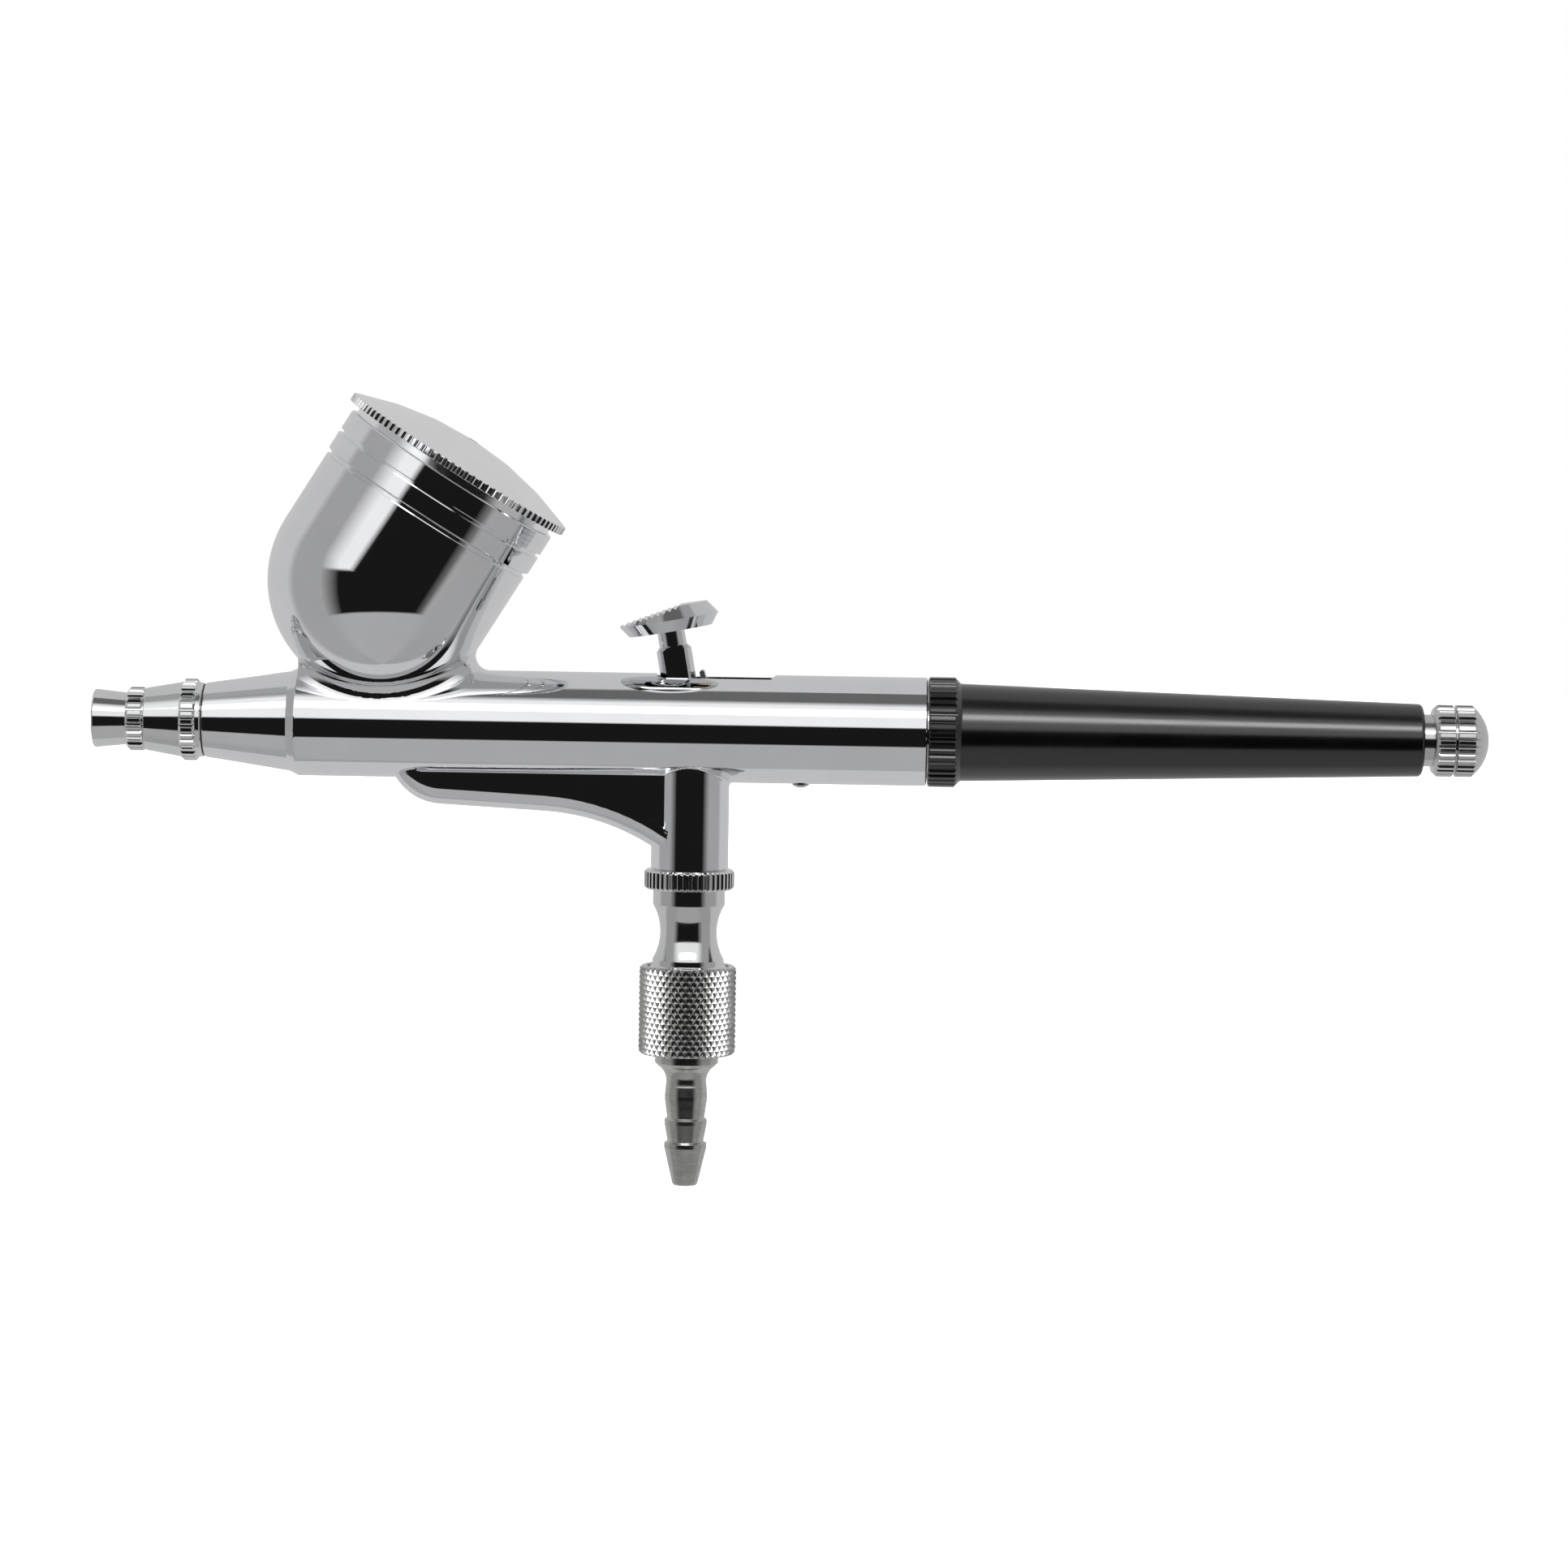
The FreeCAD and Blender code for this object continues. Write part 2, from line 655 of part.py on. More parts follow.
def union_nut():
    """The nut that clamps the hose tail to the valve."""
    bore = VALVE_THREAD_R + RUN_GAP
    return turned([
        (27.95, bore),
        (27.95, 5.35),
        (28.35, 5.75),
        (37.95, 5.75),
        (38.35, 5.35),
        (38.35, 3.8),
        (36.6, 3.8),
        (36.6, bore),
    ], Z_AXIS * -1)


def hose_seal():
    return tube(33.54, 34.3, 4.3, 1.3, axis=Z_AXIS * -1)


def hose_tail():
    """The barbed tail that a small-bore air hose pushes onto. Each crest has a short cylindrical land."""
    crest_r, land = 2.5, 0.5
    return turned([
        (34.3, 1.1),
        (34.3, VALVE_THREAD_R - 0.1),
        (36.5, VALVE_THREAD_R - 0.1),
        (36.5, 3.73),
        (39.4, 3.73),
        (39.75, 3.4),
        (42.2, 2.42, 40.6, 2.62),
        (43.25, crest_r),
        (43.25 + land, crest_r),
        (45.95, 2.2),
        (46.15, crest_r),
        (46.15 + land, crest_r),
        (48.75, 2.12),
        (48.95, crest_r),
        (48.95 + land, crest_r),
        (53.75, 1.5),
        (53.95, 1.35),
        (53.95, 1.1),
    ], Z_AXIS * -1)


# Handle and needle stop.
def handle():
    collar_rear = 30.9
    taper = turned([
        (HANDLE_FRONT_X, SPIGOT_R + THREAD_GAP),
        (HANDLE_FRONT_X, HANDLE_COLLAR_R - 0.2),
        (HANDLE_FRONT_X + 0.2, HANDLE_COLLAR_R),
        (collar_rear - 0.1, HANDLE_COLLAR_R),
        (collar_rear + 0.55, HANDLE_ROOT_R + 0.05),
        (collar_rear + 0.7, HANDLE_ROOT_R),
        (HANDLE_REAR_X - 0.5, HANDLE_END_R),
        (HANDLE_REAR_X, HANDLE_END_R - 0.5, HANDLE_REAR_X - 0.15, HANDLE_END_R - 0.15),
        (HANDLE_REAR_X, KNOB_SHANK_R + RUN_GAP),
        (72.5, KNOB_SHANK_R + RUN_GAP),
        (72.5, 2.8),
        (61.0, 2.8),
        (58.0, 4.3),
        (34.2, 4.3),
        (34.2, SPIGOT_R + THREAD_GAP),
    ])
    return taper.cut(grooves(HANDLE_FRONT_X + 0.3, collar_rear + 0.6, HANDLE_COLLAR_R, 0.24, 40))


def stop_tip():
    """The plastic plug in the knob's shank that the needle's tail meets."""
    return turned([
        (70.6, 0),
        (70.6, 1.5),
        (70.9, 1.8),
        (73.9, 1.8),
        (73.9, 1.2),
        (77.0, 1.2),
        (77.0, 0),
    ])


def stop_knob():
    groove_x, dome_x = 89.1, 91.3
    knob = turned([
        (74.0, 1.2 + RUN_GAP),
        (74.0, KNOB_SHANK_R - 0.3),
        (74.3, KNOB_SHANK_R),
        (KNOB_FRONT_X, KNOB_SHANK_R),
        (KNOB_FRONT_X, 3.7),
        (KNOB_FRONT_X + 0.55, KNOB_R),
        (groove_x - 0.2, KNOB_R),
        (groove_x - 0.05, KNOB_R - 0.4),
        (groove_x + 0.05, KNOB_R - 0.4),
        (groove_x + 0.2, KNOB_R),
        (dome_x, KNOB_R),
        dome(dome_x, KNOB_R, KNOB_REAR_X - dome_x),
        (77.2, 0),
        (77.2, 1.2 + RUN_GAP),
    ])
    return knob.cut(grooves(KNOB_FRONT_X + 0.3, dome_x + 0.5, KNOB_R, 0.22, 30))


# Cup lid, built on the cup's axis.
def cup_lid():
    """A domed lid with a serrated edge, a plug that enters the cup and a vent hole."""
    edge_r, seat_r, plug_r = 14.6, 13.1, CUP_R - CUP_WALL - 0.1
    under, top = CUP_RIM_S + 0.9, CUP_RIM_S + 1.9
    lid = turned([
        (under, 0),
        (under, plug_r - 0.8),
        (CUP_RIM_S - 2.6, plug_r - 0.8),
        (CUP_RIM_S - 2.6, plug_r - 0.2),
        (CUP_RIM_S - 2.4, plug_r),
        (CUP_RIM_S + 0.03, plug_r),
        (CUP_RIM_S + 0.03, seat_r),
        (under, seat_r),
        (under, edge_r),
        (top - 0.15, edge_r),
        (top, edge_r - 0.35),
        dome(top, edge_r - 0.35, 2.7),
    ], CUP_AXIS, CUP_CENTRE)
    lid = lid.cut(turned([
        (under - 0.1, 0),
        (under - 0.1, plug_r - 0.8),
        (under, plug_r - 0.8),
        dome(under, plug_r - 0.8, 2.6),
    ], CUP_AXIS, CUP_CENTRE))
    lid = lid.cut(grooves(under - 0.1, top + 0.1, edge_r, 0.26, 96, CUP_AXIS, CUP_CENTRE))
    vent = rod(CUP_RIM_S, CUP_RIM_S + 8, 0.6, axis=CUP_AXIS, centre=CUP_CENTRE)
    return lid.cut(vent)


NODES = [
    main_body, needle_cap, nozzle_cap, nozzle_cap_seal, fluid_nozzle, nozzle_seal, needle_packing,
    packing_screw,
    needle, needle_tube, chuck_nut, lever_pin, rear_lever, needle_spring, spring_sleeve, guide_screw,
    trigger_stem, trigger_button, valve_plunger, valve_head_seal, valve_body, valve_neck_seal, valve_spring,
    valve_retainer, union_nut, hose_seal, hose_tail, handle, stop_tip, stop_knob, cup_lid,
]


def main():
    os.makedirs("parts", exist_ok=True)
    for build in NODES:
        shape = build()
        if not shape.isValid():
            print("not valid:", build.__name__)
        solids = shape.Solids
        print(f"{build.__name__:18s} solids {len(solids)}  volume {shape.Volume:9.2f} mm3")
        solid = solids[0] if len(solids) == 1 else Part.makeCompound(solids)
        solid.exportStep(os.path.join("parts", build.__name__ + ".step"))


main()
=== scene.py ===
"""Studio scene for a gravity-feed airbrush gun.

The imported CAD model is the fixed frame. The turned outside pieces are rebuilt here as fine lathe meshes
with real knurling, rounded edges and exact normals. The rest keep their CAD shapes, with cleaned normals.
Every piece has a procedural material. Outlines are in millimetres: the distance along a piece's axis, then
the radius.
"""

import json
import math

import bpy
import numpy as np
from mathutils import Matrix, Vector


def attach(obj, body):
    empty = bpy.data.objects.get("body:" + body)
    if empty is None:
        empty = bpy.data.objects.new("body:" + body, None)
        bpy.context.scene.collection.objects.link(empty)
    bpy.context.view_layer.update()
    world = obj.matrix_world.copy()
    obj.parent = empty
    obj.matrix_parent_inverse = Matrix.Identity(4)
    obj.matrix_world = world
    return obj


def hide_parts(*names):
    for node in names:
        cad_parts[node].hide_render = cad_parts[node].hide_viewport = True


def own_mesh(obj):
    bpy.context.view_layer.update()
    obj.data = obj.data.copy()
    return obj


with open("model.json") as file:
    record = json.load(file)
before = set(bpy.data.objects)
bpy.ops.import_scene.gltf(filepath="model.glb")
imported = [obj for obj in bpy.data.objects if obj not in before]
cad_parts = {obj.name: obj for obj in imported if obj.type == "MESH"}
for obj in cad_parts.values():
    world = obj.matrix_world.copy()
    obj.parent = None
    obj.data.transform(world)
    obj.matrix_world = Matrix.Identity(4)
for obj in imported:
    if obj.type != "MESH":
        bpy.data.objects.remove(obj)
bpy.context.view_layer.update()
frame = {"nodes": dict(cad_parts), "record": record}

MM = 0.001
ORIGIN = np.zeros(3)
X_AXIS = np.array((1.0, 0.0, 0.0))
DOWN = np.array((0.0, 0.0, -1.0))
UP = np.array((0.0, 0.0, 1.0))
CUP_LEAN = math.radians(32)
CUP_AXIS = np.array((math.sin(CUP_LEAN), 0.0, math.cos(CUP_LEAN)))
CUP_CENTRE = np.array((-36.5, 0.0, 16.3))
CUP_BOWL = 0.45
ARC_STEP = math.radians(8)
SHARP_ANGLE = math.radians(24)

# Cleaning the CAD normals, in millimetres where they are lengths.
SAME_PLACE_PER_MM = 2e3
ON_SURFACE = 0.015
PAST_END = 0.02
FACING = 0.9
EXACT_WEIGHT = 1e4
EXACT_ANGLE = 3

# One tooth of straight knurling: (share of the pitch, share of the depth).
TOOTH = ((0.0, 0.0), (0.20, 0.0), (0.28, 0.22), (0.45, 0.94), (0.55, 0.94), (0.72, 0.22), (0.80, 0.0))


# Lathe meshes.
def unit(v):
    return v / np.linalg.norm(v)


def left_of(direction):
    return np.array((-direction[1], direction[0]))


def arc(start, middle, end):
    """Short segments along the arc from start to end through middle: (start, end, normal, normal)."""
    a, b = middle - start, end - start
    cross = 2 * (a[0] * b[1] - a[1] * b[0])
    aa, bb = a @ a, b @ b
    centre = start + np.array((b[1] * aa - a[1] * bb, a[0] * bb - b[0] * aa)) / cross
    radius = np.linalg.norm(start - centre)
    first = math.atan2(*(start - centre)[::-1])
    last = math.atan2(*(end - centre)[::-1])
    sign = 1 if cross > 0 else -1
    turn = (sign * (last - first)) % (2 * math.pi)
    steps = max(2, math.ceil(turn / ARC_STEP))
    angles = [first + sign * turn * i / steps for i in range(steps + 1)]
    outward = [np.array((math.cos(t), math.sin(t))) for t in angles]
    spots = [centre + radius * v for v in outward]
    spots[0], spots[-1] = start, end
    return [(spots[i], spots[i + 1], -sign * outward[i], -sign * outward[i + 1]) for i in range(steps)]


def straight(start, end, levels):
    """The segment from start to end, cut where it crosses one of the given radii or stations."""
    span = end - start
    normal = left_of(unit(span))
    shares = [0.0, 1.0]
    for axis, level in levels:
        if abs(span[axis]) > 1e-9:
            share = (level - start[axis]) / span[axis]
            if 1e-4 < share < 1 - 1e-4:
                shares.append(share)
    shares.sort()
    spots = [start + span * share for share in shares]
    return [(spots[i], spots[i + 1], normal, normal) for i in range(len(spots) - 1)]


def trace(points, levels=()):
    """The segments of a closed outline.

    A point is (s, r), (s, r, edge radius), or (s, r, mid_s, mid_r) where an arc ends."""
    count = len(points)
    spots = [np.array(point[:2], float) for point in points]
    arrive, leave, bends = list(spots), list(spots), {}
    for i, point in enumerate(points):
        if len(point) == 3:
            before, after = spots[i] - spots[i - 1], spots[(i + 1) % count] - spots[i]
            d0, d1 = unit(before), unit(after)
            turn = math.atan2(d0[0] * d1[1] - d0[1] * d1[0], d0 @ d1)
            half = math.tan(abs(turn) / 2)
            reach = min(point[2] * half, 0.45 * np.linalg.norm(before), 0.45 * np.linalg.norm(after))
            arrive[i], leave[i] = spots[i] - d0 * reach, spots[i] + d1 * reach
            centre = arrive[i] + left_of(d0) * math.copysign(reach / half, turn)
            bends[i] = centre + unit(spots[i] - centre) * reach / half
    segments = []
    for i in range(count):
        j = (i + 1) % count
        if len(points[j]) == 4:
            segments += arc(leave[i], np.array(points[j][2:], float), arrive[j])
        elif np.linalg.norm(arrive[j] - leave[i]) > 1e-7:
            segments += straight(leave[i], arrive[j], levels)
        if j in bends:
            segments += arc(arrive[j], bends[j], leave[j])
    return segments


def dome_point(base, radius, rise):
    """An outline point for a spherical cap that ends on the axis, rise beyond the circle at base."""
    ball = (radius * radius + rise * rise) / (2 * rise)
    centre = base + rise - ball
    half = math.asin(radius / abs(ball)) / 2
    return (base + rise, 0.0, centre + ball * math.cos(half), abs(ball) * math.sin(half))


class Teeth:
    """Straight knurling over part of a piece: V grooves along the axis."""

    def __init__(self, low, high, radius, depth, count):
        self.low, self.high, self.radius, self.depth, self.count = low, high, radius, depth, count
        self.levels = [(1, radius - depth * share) for share in (0.22, 0.6, 0.94)] + [(0, low), (0, high)]

    def angles(self):
        pitch = 2 * math.pi / self.count
        return np.array([(i + share) * pitch for i in range(self.count) for share, _ in TOOTH])

    def limit(self, s, angles):
        cut = np.array([depth for _, depth in TOOTH] * self.count)
        return self.radius - self.depth * cut


class Diamonds:
    """Diamond knurling: two crossing sets of slanted V grooves, which leave low pyramids."""

    parts = 4

    def __init__(self, low, high, radius, depth, count, rows):
        self.low, self.high, self.radius, self.depth, self.count = low, high, radius, depth, count
        self.pitch = (high - low) / rows
        step = self.pitch / (2 * self.parts)
        self.levels = [(0, low + i * step) for i in range(2 * self.parts * rows + 1)]

    def angles(self):
        total = 2 * self.parts * self.count
        return np.arange(total) * (2 * math.pi / total)

    def limit(self, s, angles):
        around = angles * self.count / (2 * math.pi)
        along = (s - self.low) / self.pitch
        height = 1.0
        for lane in (around + along, around - along):
            away = np.abs(lane - np.round(lane)) * 2
            height = np.minimum(height, away)
        return self.radius - self.depth * (1 - np.minimum(height / 0.86, 1.0))


def lathe(name, body, slot, material, outline, axis=X_AXIS, centre=ORIGIN, bands=(), columns=160,
          replaces=()):
    """A turned piece: the closed outline swept about its axis, with knurled bands cut into it."""
    levels = [level for band in bands for level in band.levels]
    segments = trace(outline, levels)
    angles = bands[0].angles() if bands else np.arange(columns) * (2 * math.pi / columns)
    across = np.array((0.0, 1.0, 0.0))
    third = np.cross(axis, across)
    radial = np.outer(np.cos(angles), across) + np.outer(np.sin(angles), third)
    width = len(angles)

    vertices, rings, cut = [], [], []
    for start, _, _, _ in segments:
        radii = np.full(width, start[1])
        for band in bands:
            if band.low - 1e-6 <= start[0] <= band.high + 1e-6:
                radii = np.minimum(radii, band.limit(start[0], angles))
        cut.append(bool(np.any(radii < start[1] - 1e-6)))
        spot = centre + axis * start[0]
        if start[1] < 1e-6:
            rings.append([len(vertices)] * width)
            vertices.append(spot * MM)
        else:
            rings.append(list(range(len(vertices), len(vertices) + width)))
            vertices.extend((spot + radial * radii[:, None]) * MM)

    faces, normals = [], []
    diamond = next((band for band in bands if isinstance(band, Diamonds)), None)
    for k, (start, end, n0, n1) in enumerate(segments):
        if start[1] < 1e-6 and end[1] < 1e-6:
            continue
        m = (k + 1) % len(segments)
        here, there = rings[k], rings[m]
        free = (cut[k] or cut[m]) and abs(end[0] - start[0]) > 1e-6
        side0 = axis * n0[0] + radial * n0[1]
        side1 = axis * n1[0] + radial * n1[1]
        if free:
            side0, side1 = np.zeros((width, 3)), np.zeros((width, 3))
        row = None
        if diamond and free and start[0] > diamond.low - 1e-6 and end[0] < diamond.high + 1e-6:
            row = int(((start[0] + end[0]) / 2 - diamond.low) / (diamond.pitch / 2))
        for j in range(width):
            i = (j + 1) % width
            quad = (here[j], here[i], there[i], there[j])
            sides = (side0[j], side0[i], side1[i], side1[j])
            if here[j] == here[i]:
                picks = [(0, 2, 3)]
            elif there[j] == there[i]:
                picks = [(0, 1, 2)]
            elif row is not None:
                even = (row + j // diamond.parts) % 2 == 0
                picks = [(0, 1, 2), (0, 2, 3)] if even else [(0, 1, 3), (1, 2, 3)]
            else:
                picks = [(0, 1, 2, 3)]
            for pick in picks:
                faces.append([quad[c] for c in pick])
                normals.extend(sides[c] for c in pick)
    mesh = bpy.data.meshes.new(name)
    mesh.from_pydata(vertices, [], faces)
    mesh.shade_smooth()
    mesh.set_sharp_from_angle(angle=SHARP_ANGLE)
    mesh.normals_split_custom_set(np.array(normals))
    return place(name, mesh, body, material, replaces)


def place(name, mesh, body, material, replaces=()):
    """Links a finished mesh as a piece of the object."""
    piece = bpy.data.objects.new(name, mesh)
    bpy.context.scene.collection.objects.link(piece)
    piece.data.materials.append(material)
    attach(piece, body)
    if replaces:
        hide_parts(*replaces)
    return piece


# Cleaner normals on the CAD meshes.
def clean_normals(mesh, turned=(), balls=(), limit=32):
    """Smooth normals across facets that meet below the limit angle, and exact ones on known round surfaces.

    A turned surface is (axis, centre, (s, r), (s, r)), one straight stretch of its outline. A ball is
    (centre, radius)."""
    count = len(mesh.polygons)
    corners = np.zeros(count * 3, np.int32)
    mesh.polygons.foreach_get("vertices", corners)
    places = np.zeros(len(mesh.vertices) * 3)
    mesh.vertices.foreach_get("co", places)
    places = places.reshape(-1, 3) / MM
    _, group = np.unique(np.round(places * SAME_PLACE_PER_MM).astype(np.int64), axis=0, return_inverse=True)
    group = group.ravel()[corners]
    points = places[corners].reshape(count, 3, 3)
    cross = np.cross(points[:, 1] - points[:, 0], points[:, 2] - points[:, 0])
    size = np.linalg.norm(cross, axis=1)
    flat = cross / np.maximum(size, 1e-12)[:, None]
    edges = np.roll(points, -1, axis=1) - points
    edges /= np.maximum(np.linalg.norm(edges, axis=2), 1e-12)[:, :, None]
    opening = np.arccos(np.clip(-(edges * np.roll(edges, 1, axis=1)).sum(2), -1, 1))
    weight = opening * np.sqrt(size + 1e-9)[:, None]

    wanted = np.repeat(flat[:, None], 3, axis=1)
    exact = np.zeros(count, bool)
    surfaces = []
    for axis, centre, (s0, r0), (s1, r1) in turned:
        arm = points - centre
        along = arm @ axis
        spoke = arm - along[:, :, None] * axis
        radius = np.linalg.norm(spoke, axis=2)
        slope = (r1 - r0) / (s1 - s0)
        near = np.abs(radius - r0 - slope * (along - s0)) < ON_SURFACE
        near &= (along > s0 - PAST_END) & (along < s1 + PAST_END)
        surfaces.append((near, spoke / np.maximum(radius, 1e-9)[:, :, None] - slope * axis))
    for centre, ball in balls:
        arm = points - centre
        surfaces.append((np.abs(np.linalg.norm(arm, axis=2) - ball) < ON_SURFACE, arm))
    for near, normal in surfaces:
        normal = normal / np.maximum(np.linalg.norm(normal, axis=2), 1e-9)[:, :, None]
        facing = (normal.mean(1) * flat).sum(1)
        chosen = near.all(1) & (np.abs(facing) > FACING)
        wanted[chosen] = (normal * np.sign(facing)[:, None, None])[chosen]
        exact |= chosen
    weight[exact] *= EXACT_WEIGHT

    wanted, weight, exact = wanted.reshape(-1, 3), weight.ravel(), np.repeat(exact, 3)
    order = np.argsort(group, kind="stable")
    ends = np.flatnonzero(np.diff(group[order])) + 1
    close, same = math.cos(math.radians(limit)), math.cos(math.radians(EXACT_ANGLE))
    result = np.zeros_like(wanted)
    facet = np.repeat(flat, 3, axis=0)
    for members in np.split(order, ends):
        agreement = wanted[members] @ wanted[members].T
        alike = (facet[members] @ facet[members].T > close) & (agreement > close)
        alike &= (agreement > same) | ~np.outer(exact[members], exact[members])
        result[members] = (alike * weight[members]) @ wanted[members]
    lengths = np.linalg.norm(result, axis=1)
    result /= np.maximum(lengths, 1e-12)[:, None]
    mesh.shade_smooth()
    mesh.normals_split_custom_set(result)


# Materials.
class Nodes:
    """A node tree under construction."""

    def node(self, kind, links=None, **settings):
        made = self.tree.nodes.new(kind)
        for key, value in settings.items():
            setattr(made, key, value)
        for key, value in (links or {}).items():
            if isinstance(value, bpy.types.NodeSocket):
                self.tree.links.new(value, made.inputs[key])
            else:
                made.inputs[key].default_value = value
        return made


class Paint(Nodes):
    """A Principled material whose colour, roughness and bump come from procedural nodes."""

    def __init__(self, name, **values):
        self.material = bpy.data.materials.new(name)
        self.material.use_nodes = True
        self.tree = self.material.node_tree
        self.tree.nodes.clear()
        self.out = self.tree.nodes.new("ShaderNodeOutputMaterial")
        self.shader = self.tree.nodes.new("ShaderNodeBsdfPrincipled")
        self.tree.links.new(self.shader.outputs[0], self.out.inputs[0])
        self.where = self.tree.nodes.new("ShaderNodeTexCoord").outputs["Object"]
        for key, value in values.items():
            self.shader.inputs[key.replace("_", " ")].default_value = value

    def noise(self, size_mm, detail=2.0, roughness=0.5, stretch=(1, 1, 1), turn=(0, 0, 0)):
        """Noise whose features are about size_mm across, before any stretch."""
        scale = [1000 / size_mm / s for s in stretch]
        spot = self.node("ShaderNodeMapping", {"Vector": self.where, "Rotation": turn, "Scale": scale})
        made = self.node("ShaderNodeTexNoise", {
            "Vector": spot.outputs[0], "Scale": 1.0, "Detail": detail, "Roughness": roughness})
        return made.outputs["Fac"]

    def remap(self, value, low, high, to_low, to_high):
        made = self.node("ShaderNodeMapRange", {
            "Value": value, "From Min": low, "From Max": high, "To Min": to_low, "To Max": to_high})
        return made.outputs[0]

    def blend(self, share, first, second):
        made = self.node("ShaderNodeMix", {0: share}, data_type="RGBA")
        for index, colour in ((6, first), (7, second)):
            if isinstance(colour, bpy.types.NodeSocket):
                self.tree.links.new(colour, made.inputs[index])
            else:
                made.inputs[index].default_value = (*colour, 1)
        return made.outputs[2]

    def math(self, operation, first, second):
        return self.node("ShaderNodeMath", {0: first, 1: second}, operation=operation).outputs[0]

    def link(self, name, socket):
        self.tree.links.new(socket, self.shader.inputs[name])

    def bump(self, height, distance_mm, strength=1.0, under=None):
        links = {"Height": height, "Distance": distance_mm * MM, "Strength": strength}
        if under is not None:
            links["Normal"] = under
        made = self.node("ShaderNodeBump", links)
        self.link("Normal", made.outputs[0])
        return made.outputs[0]


def chrome(name, tint=(0.84, 0.845, 0.86), rough=(0.025, 0.06), wave_mm=0.0018):
    """Bright plating: a faint uneven tint, hazy smudges and the slight ripple of hand polishing."""
    paint = Paint(name, Metallic=1.0)
    cloud = paint.noise(6.0, 3.0, 0.55)
    dull = tuple(0.965 * c for c in tint)
    paint.link("Base Color", paint.blend(paint.remap(cloud, 0.35, 0.65, 0, 1), dull, tint))
    haze = paint.noise(2.2, 4.0, 0.62)
    paint.link("Roughness", paint.remap(haze, 0.42, 0.75, *rough))
    ripple = paint.noise(3.4, 1.5, 0.5)
    fine = paint.bump(paint.noise(0.25, 2.0, 0.6), 0.00012)
    paint.bump(ripple, wave_mm, under=fine)
    return paint.material


def turned_steel(name, axis_index, dark, light, rough=(0.16, 0.34), line_mm=0.09, tool_mm=0.006):
    """Machined steel: fine rings round the axis from the cutting tool, with uneven brightness."""
    paint = Paint(name, Metallic=1.0)
    stretch = [60.0, 60.0, 60.0]
    stretch[axis_index] = 1.0
    rings = paint.noise(line_mm, 3.0, 0.7, stretch)
    cloud = paint.noise(1.6, 3.0, 0.6)
    mixed = paint.math("ADD", paint.remap(rings, 0.35, 0.65, 0, 0.6), paint.remap(cloud, 0.35, 0.65, 0, 0.4))
    paint.link("Base Color", paint.blend(mixed, dark, light))
    paint.link("Roughness", paint.remap(mixed, 0, 1, rough[1], rough[0]))
    paint.bump(rings, tool_mm)
    return paint.material


def anodised(name):
    """Satin black anodised aluminium: nearly black, with a fine matt grain and faint turning rings."""
    paint = Paint(name, Metallic=0.0, IOR=1.75)
    grain = paint.noise(0.12, 3.0, 0.7)
    cloud = paint.noise(7.0, 3.0, 0.6)
    paint.link("Base Color", paint.blend(cloud, (0.0012, 0.0012, 0.0014), (0.003, 0.003, 0.0034)))
    fine_part = paint.remap(grain, 0.3, 0.7, 0.15, 0.22)
    broad_part = paint.remap(cloud, 0.3, 0.7, -0.02, 0.03)
    paint.link("Roughness", paint.math("ADD", fine_part, broad_part))
    rings = paint.noise(0.18, 2.0, 0.6, (1, 60, 60))
    fine = paint.bump(grain, 0.0016)
    paint.bump(rings, 0.0012, under=fine)
    return paint.material


def plain_metal(name, dark, light, rough=(0.18, 0.32)):
    """A machined inner part: soft colour change and fine scratches."""
    paint = Paint(name, Metallic=1.0)
    cloud = paint.noise(1.8, 4.0, 0.6)
    paint.link("Base Color", paint.blend(paint.remap(cloud, 0.3, 0.7, 0, 1), dark, light))
    scratch = paint.noise(0.15, 3.0, 0.7, (18, 1, 1))
    paint.link("Roughness", paint.remap(scratch, 0.3, 0.7, *rough))
    paint.bump(scratch, 0.002)
    return paint.material


def plastic(name, dark, light, rough=(0.45, 0.65), grain_mm=0.2, depth_mm=0.004):
    """Rubber or plastic: a matt skin with fine grain."""
    paint = Paint(name, Metallic=0.0)
    cloud = paint.noise(1.2, 4.0, 0.6)
    grain = paint.noise(grain_mm, 3.0, 0.6)
    paint.link("Base Color", paint.blend(cloud, dark, light))
    paint.link("Roughness", paint.remap(grain, 0.3, 0.7, *rough))
    paint.bump(grain, depth_mm)
    return paint.material


def spring_steel(name):
    """Drawn spring wire, with the fine lines of the die."""
    paint = Paint(name, Metallic=1.0)
    cloud = paint.noise(0.8, 3.0, 0.6)
    share = paint.remap(cloud, 0.3, 0.7, 0, 1)
    paint.link("Base Color", paint.blend(share, (0.40, 0.40, 0.41), (0.62, 0.62, 0.63)))
    draw = paint.noise(0.06, 2.0, 0.6)
    paint.link("Roughness", paint.remap(draw, 0.3, 0.7, 0.2, 0.36))
    paint.bump(draw, 0.001)
    return paint.material


